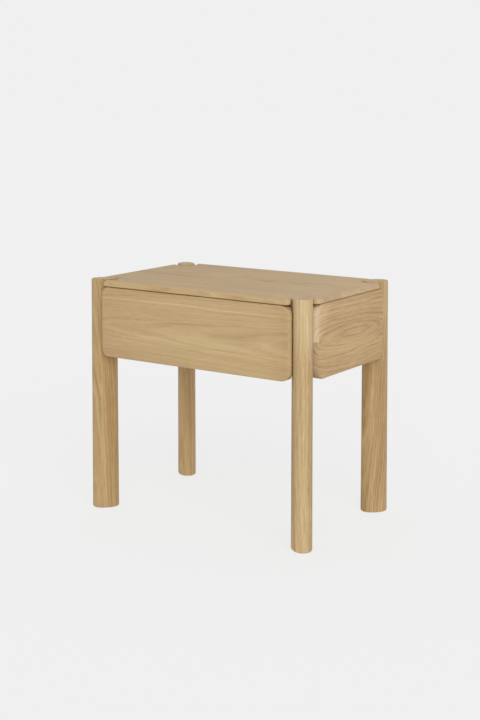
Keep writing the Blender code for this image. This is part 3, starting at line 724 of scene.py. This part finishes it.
top = slab("top_board", TOP_LO.z + TOP_LIFT, TOP_HI.z)
TOP_OAK = oak(
    "oak_top",
    along="x",
    across="y",
    centre=(0.0, 0.0, TOP_HI.z),
    pith=(0.02, -0.075),
    slope=0.035,
    ring=3.6 * MM,
    figure=0.15,
    streak=0.16,
    tone=-0.11,
    staves=(-0.108, -0.036, 0.041, 0.112),
    stave_tone=0.10,
    seed=2.6,
    specular=0.16,
    # Painted highlight: the first plane makes the rounded front edge lighter. The other two make the top lighter
    # towards +X and darker towards -X.
    tone_and_painted_shade_planes=((0, -1, 0, 0.160, 0.172, 0.19), (1, 0, 0, 0.06, 0.22, 0.10), (-1, 0, 0, 0.05, 0.22, -0.05)),
    hue=0.12,
    end_tones=((-0.2, -0.108, 0.16), (-0.108, -0.036, -0.02), (-0.036, 0.041, 0.10), (0.041, 0.112, 0.04), (0.112, 0.2, 0.08)),
    end_from=0.20,
    end_to=0.98,
    end_rag=0.30,
)
dress(top, TOP_OAK)
weigh(top)
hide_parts("top_panel")
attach(top, "carcass")


# ---------------------------------------------------------------- panels
def board(name, half, z0, z1, thick, ends=18.0 * MM, edges=7.0 * MM, corner=(21.0 * MM, 14.0 * MM), back=1.6 * MM, arc=16, other=None):
    """A board in its own frame: X along, Z up, its show face at Y = 0 and its back at Y = thick.

    The show face's edges are rounded: much more at the ends than above and below. half, ends and corner are the +X end's; other gives the -X end its own.
    """
    zc, hz = (z0 + z1) / 2, (z1 - z0) / 2
    both = {1: (half, ends, corner), -1: other or (half, ends, corner)}

    def outline(dxs, dz, y):
        ring = []
        for qx, qz, start in ((1, -1, -PI / 2), (1, 1, 0.0), (-1, 1, PI / 2), (-1, -1, PI)):
            half, _, (cx, cz) = both[qx]
            dx = dxs[qx]
            for k in range(arc + 1):
                a = start + PI / 2 * k / arc
                ring.append(
                    Vector(
                        (
                            qx * (half - cx) + (cx - dx) * math.cos(a),
                            y,
                            zc + qz * (hz - cz) + (cz - dz) * math.sin(a),
                        )
                    )
                )
        return ring

    def inset(radius, y):
        return radius - math.sqrt(max(0.0, radius ** 2 - max(0.0, radius - y) ** 2))

    rings = []
    for i in range(4):
        t = PI / 2 * i / 3
        d = back * (1 - math.sin(t))
        rings.append(outline({1: d, -1: d}, d, thick - back * (1 - math.cos(t))))
    deep = min(max(kind[1] for kind in both.values()), thick - back)
    depths = {deep * (i / 16) ** 2 for i in range(16)}
    depths |= {edges * (1 - math.sin(PI / 2 * i / 8)) for i in range(9)}
    depths = sorted(depths, reverse=True)
    kept = [depths[0]]
    for y in depths[1:]:
        if kept[-1] - y > 0.02 * MM or y == 0.0:
            kept.append(y)
    for y in kept:
        sides = {q: inset(both[q][1], y) for q in both}
        rings.append(outline(sides, inset(edges, y), y))
    return loft(name, rings)


def stand(obj, matrix):
    obj.data.transform(matrix)
    obj.data.update()


PANEL_T = 20.0 * MM
PANEL_END = 8.0 * MM
FRONT_LO, FRONT_HI = box("drawer_front")
front = board(
    "drawer_front_board",
    LEG_X - 13.0 * MM,
    FRONT_LO.z,
    FRONT_HI.z + TOP_LIFT + 0.3 * MM,
    FRONT_HI.y - FRONT_LO.y,
    ends=7.0 * MM,
    edges=4.0 * MM,
    corner=(25.0 * MM, 19.0 * MM),
    other=(LEG_X - 8.0 * MM, 10.0 * MM, (20.0 * MM, 17.0 * MM)),
)
stand(front, Matrix.Translation((0, FRONT_LO.y, 0)))
cutters = [
    leg_solid(f"cope_{sx}", sx, -1, 0.30, 0.52, (3.0 - 1.2 * sx) * MM, 0.0, 2) for sx in (-1, 1)
]
# the finger groove behind the bottom edge
bm = bmesh.new()
bmesh.ops.create_cone(
    bm,
    cap_ends=True,
    segments=64,
    radius1=7.0 * MM,
    radius2=7.0 * MM,
    depth=0.38,
    matrix=Matrix.Translation((0, FRONT_HI.y, 347.5 * MM)) @ Matrix.Rotation(PI / 2, 4, "Y"),
)
cutters.append(new_object("finger_groove", bm))
cut(front, *cutters)
FRONT_OAK = oak(
    "oak_front",
    along="x",
    across="z",
    centre=(0.0, FRONT_LO.y, 0.411),
    pith=(-0.004, 0.052),
    slope=0.030,
    ring=3.9 * MM,
    figure=0.11,
    streak=0.150,
    tone=-0.07,
    wobble=0.5,
    end_from=0.70,
    end_to=1.25,
    seed=5.5,
    lights=((0.0535, 3.0 * MM, 0.24), (0.0480, 2.4 * MM, -0.13), (0.0640, 2.5 * MM, 0.05), (-0.028, 3.0 * MM, -0.07), (-0.052, 2.5 * MM, 0.08)),
    tone_and_painted_shade_planes=((1, 0, 0, -0.245, -0.10, 0.12), (1, 0, 0, -0.10, 0.20, 0.04), (0, 0, 1, 0.050, 0.064, -0.03), (0, 0, -1, 0.030, 0.055, -0.06), (1, 0, 0, 0.175, 0.230, -0.12)),
    hue=0.10,
)
dress(front, FRONT_OAK)
weigh(front)
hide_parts("drawer_front")
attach(front, "drawer")

for side, sx in (("right", 1), ("left", -1)):
    node = "side_panel_" + side
    lo, hi = box(node)
    face = hi.x if sx > 0 else lo.x
    forward = (LEG_Y - 16.0 * MM, 15.0 * MM, (30.0 * MM, 28.0 * MM))
    rearward = (LEG_Y - 1.5 * MM, 9.0 * MM, (20.0 * MM, 15.0 * MM))
    near, far = (rearward, forward) if sx > 0 else (forward, rearward)
    made = board(
        node + "_board",
        near[0],
        lo.z,
        hi.z + TOP_LIFT,
        PANEL_T,
        ends=near[1],
        edges=4.5 * MM,
        corner=near[2],
        other=far,
    )
    stand(
        made,
        Matrix.Translation((face, 0, 0)) @ Matrix.Rotation(sx * PI / 2, 4, "Z"),
    )
    cut(
        made,
        *[leg_solid(f"cope_{side}_{sy}", sx, sy, 0.30, 0.52, (1.4 - sy) * MM, 0.0, 2) for sy in (-1, 1)],
    )
    look = oak(
        "oak_" + node,
        along="y",
        across="z",
        centre=(face, 0.0, 0.411),
        pith=(0.001, sx * 0.025),
        slope=0.004 * sx,
        bow=0.42,
        ring=7.2 * MM,
        figure=0.23,
        streak=0.30,
        tone=-0.03,
        wobble=0.75,
        seed=8.4 if sx > 0 else 3.1,
        hue=0.45,
        lights=((0.0640, 2.0 * MM, 0.16), (0.0595, 1.8 * MM, -0.20), (0.0535, 2.2 * MM, 0.16), (-0.0375, 2.2 * MM, -0.26)),
        tone_and_painted_shade_planes=((0, 0, 1, -0.040, -0.052, -0.04), (0, 1, 0, 0.0, 0.12, -0.08), (0, -0.8, 0.6, 0.090, 0.124, 0.30)),
        end_tones=((0.0012, 0.2, 0.40), (-0.2, 0.0012, -0.30)),
        end_from=0.05,
        end_to=0.70,
        end_rag=0.50,
    )
    dress(made, look)
    weigh(made)
    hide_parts(node)
    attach(made, "carcass")

lo, hi = box("back_panel")
back = board("back_panel_board", LEG_X - PANEL_END, lo.z, hi.z + TOP_LIFT, PANEL_T)
stand(back, Matrix.Translation((0, hi.y, 0)) @ Matrix.Rotation(PI, 4, "Z"))
cut(
    back,
    *[leg_solid(f"cope_back_{sx}", sx, 1, 0.30, 0.52, 0.4 * MM, 0.0, 2) for sx in (-1, 1)],
)
dress(
    back,
    oak(
        "oak_back_panel",
        along="x",
        across="z",
        centre=(0.0, hi.y, 0.411),
        pith=(-0.01, -0.052),
        slope=0.030,
        ring=4.2 * MM,
        figure=0.18,
        streak=0.11,
        seed=12.7,
        staves=(0.004,),
        stave_tone=0.05,
    ),
)
weigh(back)
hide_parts("back_panel")
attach(back, "carcass")


# ---------------------------------------------------------------- inner wood: CAD shapes with softened edges
def soften(node, material, width=0.6 * MM, segments=2):
    """A copy of a node with its flat faces whole again and its edges eased."""
    source = frame["nodes"][node]
    bm = bmesh.new()
    bm.from_mesh(source.data)
    bmesh.ops.remove_doubles(bm, verts=bm.verts, dist=2e-6)
    bmesh.ops.dissolve_limit(
        bm, angle_limit=math.radians(1.0), verts=bm.verts, edges=bm.edges
    )
    obj = new_object(node + "_eased", bm)
    m = obj.modifiers.new("ease", "BEVEL")
    m.width, m.segments, m.limit_method = width, segments, "ANGLE"
    m.angle_limit, m.use_clamp_overlap = math.radians(35), True
    m.harden_normals = False
    apply_all(obj)
    dress(obj, material)
    weigh(obj)
    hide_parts(node)
    return obj


INNER = {
    "front_top_rail": ("x", "y", "carcass"),
    "front_bottom_rail": ("x", "y", "carcass"),
    "runner_batten_left": ("y", "z", "carcass"),
    "runner_batten_right": ("y", "z", "carcass"),
    "top_cleat_left": ("y", "z", "carcass"),
    "top_cleat_right": ("y", "z", "carcass"),
    "drawer_side_left": ("y", "z", "drawer"),
    "drawer_side_right": ("y", "z", "drawer"),
    "drawer_box_front": ("x", "z", "drawer"),
    "drawer_box_back": ("x", "z", "drawer"),
}
for number, (node, (along, across, body)) in enumerate(INNER.items()):
    lo, hi = box(node)
    mid = (lo + hi) / 2
    look = oak(
        "oak_" + node,
        along=along,
        across=across,
        centre=tuple(mid),
        pith=(0.06 + 0.004 * number, 0.02),
        slope=0.008,
        ring=3.0 * MM,
        figure=0.10,
        streak=0.11,
        tone=0.04 + 0.03 * math.sin(number * 2.1),
        wobble=0.7,
        seed=20.0 + 1.9 * number,
        rough=0.55,
    )
    made = soften(node, look, 0.5 * MM)
    if node in ("front_top_rail", "top_cleat_left", "top_cleat_right"):
        for vertex in made.data.vertices:
            if vertex.co.z > hi.z - 1 * MM:
                vertex.co.z += TOP_LIFT
    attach(made, body)

frame["nodes"]["drawer_bottom"].data.materials.clear()
frame["nodes"]["drawer_bottom"].data.materials.append(plywood("plywood_bottom"))


# ---------------------------------------------------------------- screws
def lathe(bm, profile, steps):
    rows = []
    for r, z in profile:
        if r < 1e-7:
            rows.append([bm.verts.new((0, 0, z))])
        else:
            rows.append(
                [
                    bm.verts.new(
                        (
                            r * math.cos(2 * PI * i / steps),
                            r * math.sin(2 * PI * i / steps),
                            z,
                        )
                    )
                    for i in range(steps)
                ]
            )
    for lower, upper in zip(rows, rows[1:]):
        for i in range(steps):
            j = (i + 1) % steps
            if len(lower) == 1 and len(upper) == 1:
                continue
            if len(lower) == 1:
                bm.faces.new((lower[0], upper[i], upper[j]))
            elif len(upper) == 1:
                bm.faces.new((lower[i], upper[0], lower[j]))
            else:
                bm.faces.new((lower[i], upper[i], upper[j], lower[j]))


def screw_mesh(name, length, head_r, shank_r, flat):
    """A wood screw along -Z with its head's face at Z = 0, threaded, with a cross recess."""
    bm = bmesh.new()
    tip = 4.0 * MM
    if flat:
        profile = [(0, 0), (head_r - 0.15 * MM, 0), (head_r, -0.15 * MM), (head_r, -0.4 * MM)]
        neck = -0.4 * MM - (head_r - shank_r)
        profile += [(shank_r, neck)]
    else:
        profile = [
            (0, 0),
            (head_r * 0.45, -0.04 * MM),
            (head_r * 0.75, -0.22 * MM),
            (head_r * 0.93, -0.6 * MM),
            (head_r, -1.1 * MM),
            (head_r, -1.6 * MM),
        ]
        neck = -1.6 * MM
        profile += [(shank_r * 0.9, neck)]
    # thread: ridges down the shank
    z = neck - 1.0 * MM
    core = shank_r * 0.72
    while z > -(length - tip):
        profile += [(core, z), (shank_r, z - 0.45 * MM), (core, z - 0.9 * MM)]
        z -= 1.5 * MM
    profile += [(core * 0.8, -(length - tip * 0.6)), (core * 0.35, -(length - tip * 0.2)), (0, -length)]
    lathe(bm, profile, 20)
    obj = new_object(name, bm)
    # the recess: two tapered blades crossed
    blades = []
    for turn in (0.0, PI / 2):
        bm = bmesh.new()
        bmesh.ops.create_cone(
            bm,
            cap_ends=True,
            segments=4,
            radius1=head_r * 0.20,
            radius2=head_r * 0.78,
            depth=3.0 * MM,
            matrix=Matrix.Rotation(turn, 4, "Z")
            @ Matrix.Diagonal((1.0, 0.24, 1.0, 1.0))
            @ Matrix.Translation((0, 0, -0.6 * MM))
            @ Matrix.Rotation(PI / 4 * 0, 4, "Z"),
        )
        blades.append(new_object(f"{name}_blade", bm))
    cut(obj, *blades)
    obj.data.shade_smooth()
    obj.data.set_sharp_from_angle(angle=math.radians(40))
    return obj


SCREW_METAL = metal("screw_plating", (0.66, 0.57, 0.34), 0.34, "y", 0.5)
ZINC = metal("zinc_plating", (0.60, 0.615, 0.635), 0.36, "y")
masters = {}


def place_screw(node, body):
    lo, hi = box(node)
    size, mid = hi - lo, (lo + hi) / 2
    axis = max(range(3), key=lambda m: size[m])
    length = size[axis]
    # the head is at the wide end of the node
    verts = [v.co for v in frame["nodes"][node].data.vertices]

    def reach(test):
        cross = [m for m in range(3) if m != axis]
        return max(
            math.hypot(v[cross[0]] - mid[cross[0]], v[cross[1]] - mid[cross[1]])
            for v in verts
            if test(v)
        )

    low = reach(lambda v: v[axis] < lo[axis] + 0.3 * MM)
    high = reach(lambda v: v[axis] > hi[axis] - 0.3 * MM)
    head_low = low > high
    flat = not node.startswith(("slide_screw", "drawer_screw"))
    head_r, shank_r = (3.8 * MM, 1.7 * MM) if flat else (3.3 * MM, 1.6 * MM)
    key = (round(length, 5), flat)
    if key not in masters:
        masters[key] = screw_mesh(f"screw_master_{len(masters)}", length, head_r, shank_r, flat)
    source = masters[key]
    obj = bpy.data.objects.new(node + "_fine", source.data.copy())
    SCENE.collection.objects.link(obj)
    head = mid.copy()
    head[axis] = lo[axis] if head_low else hi[axis]
    out = Vector((0, 0, 0))
    out[axis] = -1 if head_low else 1
    spin = Matrix.Rotation((sum(map(ord, node)) % 90) / 90 * PI / 2, 4, "Z")
    obj.data.transform(
        Matrix.Translation(head) @ out.to_track_quat("Z", "Y").to_matrix().to_4x4() @ spin
    )
    obj.data.materials.clear()
    obj.data.materials.append(SCREW_METAL)
    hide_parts(node)
    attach(obj, body)


node_body = {
    n: b for b, names in frame["record"]["behaviour"]["bodies"].items() for n in names
}
for node in sorted(frame["nodes"]):
    if "screw" in node:
        place_screw(node, node_body[node])
for source in masters.values():
    bpy.data.objects.remove(source, do_unlink=True)


# ---------------------------------------------------------------- slides
def slide_member(node, web_out, lip, sheet=1.2 * MM):
    """A rolled steel channel with round bends: web_out is the sign of X from the open side to the web."""
    lo, hi = box(node)
    zc, half = (lo.z + hi.z) / 2, (hi.z - lo.z) / 2
    depth = hi.x - lo.x
    web = hi.x if web_out > 0 else lo.x
    s = -web_out
    bend = 2.0 * MM
    # centre line of the sheet, from one lip to the other, in (depth from the web, height)
    h = sheet / 2
    line = []

    def arc(cx, cz, r, a0, a1, steps=6):
        for k in range(steps + 1):
            a = a0 + (a1 - a0) * k / steps
            line.append((cx + r * math.cos(a), cz + r * math.sin(a)))

    r = bend - h
    line.append((depth - h, -half + lip))
    arc(depth - bend, -half + bend, r, 0.0, -PI / 2)
    arc(bend, -half + bend, r, -PI / 2, -PI)
    arc(bend, half - bend, r, PI, PI / 2)
    arc(depth - bend, half - bend, r, PI / 2, 0.0)
    line.append((depth - h, half - lip))
    left, right = [], []
    for i, (d, z) in enumerate(line):
        p, q = line[max(0, i - 1)], line[min(len(line) - 1, i + 1)]
        tx, tz = q[0] - p[0], q[1] - p[1]
        n = math.hypot(tx, tz)
        nx, nz = -tz / n, tx / n
        left.append((d + nx * h, z + nz * h))
        right.append((d - nx * h, z - nz * h))
    section = left + right[::-1]
    rings = []
    for y in (lo.y, lo.y + 0.3 * MM, hi.y - 0.3 * MM, hi.y):
        rings.append([Vector((web + s * d, y, zc + z)) for d, z in section])
    obj = loft(node + "_rolled", rings)
    return obj


def slots(obj, x, z, places, axis="X"):
    cutters = []
    for y, half_len, r in places:
        bm = bmesh.new()
        bmesh.ops.create_cone(
            bm, cap_ends=True, segments=24, radius1=r, radius2=r, depth=8 * MM,
            matrix=Matrix.Translation((x, y, z)) @ Matrix.Rotation(PI / 2, 4, "Y"),
        )
        if half_len:
            for v in bm.verts:
                v.co.y += half_len if v.co.y > y else -half_len
        cutters.append(new_object("slot", bm))
    cut(obj, *cutters)


for side, sx in (("left", -1), ("right", 1)):
    for kind, web_out, lip, body in (
        ("fixed", sx, 3.6 * MM, "carcass"),
        ("middle", sx, 3.6 * MM, "slide_" + side),
        ("drawer", -sx, 2.4 * MM, "drawer"),
    ):
        node = f"slide_{kind}_{side}"
        lo, hi = box(node)
        made = slide_member(node, web_out, lip)
        web = hi.x if web_out > 0 else lo.x
        zc = (lo.z + hi.z) / 2
        if kind == "fixed":
            places = [(-100 * MM, 0, 1.95 * MM), (100 * MM, 0, 1.95 * MM), (-60 * MM, 3 * MM, 2.3 * MM), (40 * MM, 3 * MM, 2.3 * MM), (-125 * MM, 0, 3.0 * MM)]
        elif kind == "middle":
            places = [(-100 * MM, 5 * MM, 4.2 * MM), (100 * MM, 5 * MM, 4.2 * MM), (0, 9 * MM, 4.2 * MM)]
        else:
            places = [(-100 * MM, 0, 1.95 * MM), (100 * MM, 0, 1.95 * MM), (-70 * MM, 3 * MM, 2.3 * MM), (60 * MM, 3 * MM, 2.3 * MM)]
        slots(made, web, zc, places)
        dress(made, ZINC, True, 30)
        weigh(made)
        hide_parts(node)
        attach(made, body)

# ---------------------------------------------------------------- glides
GLIDE = plastic("glide_plastic", (0.105, 0.075, 0.052), 0.48)
for corner, (sx, sy) in LEG_NODES.items():
    node = "glide_" + corner
    lo, hi = box(node)
    r = (hi.x - lo.x) / 2
    mid = (lo + hi) / 2
    bm = bmesh.new()
    z = hi.z - lo.z
    profile = [(0, z), (0.6 * MM, z), (1.2 * MM, z - 2.0 * MM), (1.2 * MM, 2.0 * MM), (r - 0.7 * MM, 2.0 * MM)]
    for k in range(1, 6):
        a = PI / 2 * k / 5
        profile.append((r - 0.7 * MM + 0.7 * MM * math.sin(a), 1.3 * MM + 0.7 * MM * math.cos(a)))
    for k in range(0, 6):
        a = PI / 2 * k / 5
        profile.append((r - 0.8 * MM + 0.8 * MM * math.cos(a), 0.8 * MM - 0.8 * MM * math.sin(a)))
    profile.append((0, 0))
    lathe(bm, profile, 64)
    glide = new_object(node + "_fine", bm)
    glide.data.transform(Matrix.Translation((mid.x, mid.y, lo.z)))
    dress(glide, GLIDE, True, 40)
    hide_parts(node)
    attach(glide, "carcass")

# ---------------------------------------------------------------- stage, light, camera
BACKGROUND = 0.871  # the pale grey of the paper, linear

bm = bmesh.new()
bmesh.ops.create_grid(bm, x_segments=1, y_segments=1, size=30.0)
floor = new_object("floor", bm)
floor.location.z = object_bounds()[0].z
t = Tree("pale_floor")
t.shader.inputs["Base Color"].default_value = (0.13, 0.13, 0.13, 1)
t.shader.inputs["Roughness"].default_value = 1.0
t.shader.inputs["Specular IOR Level"].default_value = 0.0
t.shader.inputs["Emission Color"].default_value = (1, 1, 1, 1)
t.shader.inputs["Emission Strength"].default_value = 0.757
floor.data.materials.append(t.material)
floor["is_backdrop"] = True

world = bpy.data.worlds.new("studio")
SCENE.world = world
world.use_nodes = True
wn, wl = world.node_tree.nodes, world.node_tree.links
wn.clear()
out = wn.new("ShaderNodeOutputWorld")
mixer = wn.new("ShaderNodeMixShader")
seen = wn.new("ShaderNodeBackground")
lit = wn.new("ShaderNodeBackground")
path = wn.new("ShaderNodeLightPath")
seen.inputs["Color"].default_value = (1, 1, 1, 1)
seen.inputs["Strength"].default_value = BACKGROUND
lit.inputs["Color"].default_value = (1, 1, 1, 1)
lit.inputs["Strength"].default_value = 0.55
wl.new(path.outputs["Is Camera Ray"], mixer.inputs[0])
wl.new(lit.outputs[0], mixer.inputs[1])
wl.new(seen.outputs[0], mixer.inputs[2])
wl.new(mixer.outputs[0], out.inputs[0])


def sun(name, azimuth, elevation, strength, angle):
    data = bpy.data.lights.new(name, "SUN")
    data.energy, data.angle = strength, math.radians(angle)
    obj = bpy.data.objects.new(name, data)
    SCENE.collection.objects.link(obj)
    a, e = math.radians(azimuth), math.radians(elevation)
    towards = Vector((math.sin(a) * math.cos(e), -math.cos(a) * math.cos(e), math.sin(e)))
    obj.rotation_mode = "QUATERNION"
    obj.rotation_quaternion = towards.to_track_quat("Z", "Y")
    return obj


sun("key", 43, 32, 1.47, 50)
sun("fill", 215, 40, 0.45, 80)

camera_data = bpy.data.cameras.new("camera")
camera = bpy.data.objects.new("camera", camera_data)
SCENE.collection.objects.link(camera)
camera_data.sensor_width = 36.0
camera_data.lens = 1324.23 * 36.0 / 720.0
camera_data.shift_y = (200.0 - 360.0) / 720.0
camera_data.clip_start, camera_data.clip_end = 0.05, 100.0
camera.location = (1.5788, -2.3303, 0.8998)
camera.rotation_euler = (math.radians(90 - 4.6468), 0.0, math.radians(34.0762))
SCENE.camera = camera
SCENE.view_settings.view_transform = "Standard"
SCENE.view_settings.look = "None"

lo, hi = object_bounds()
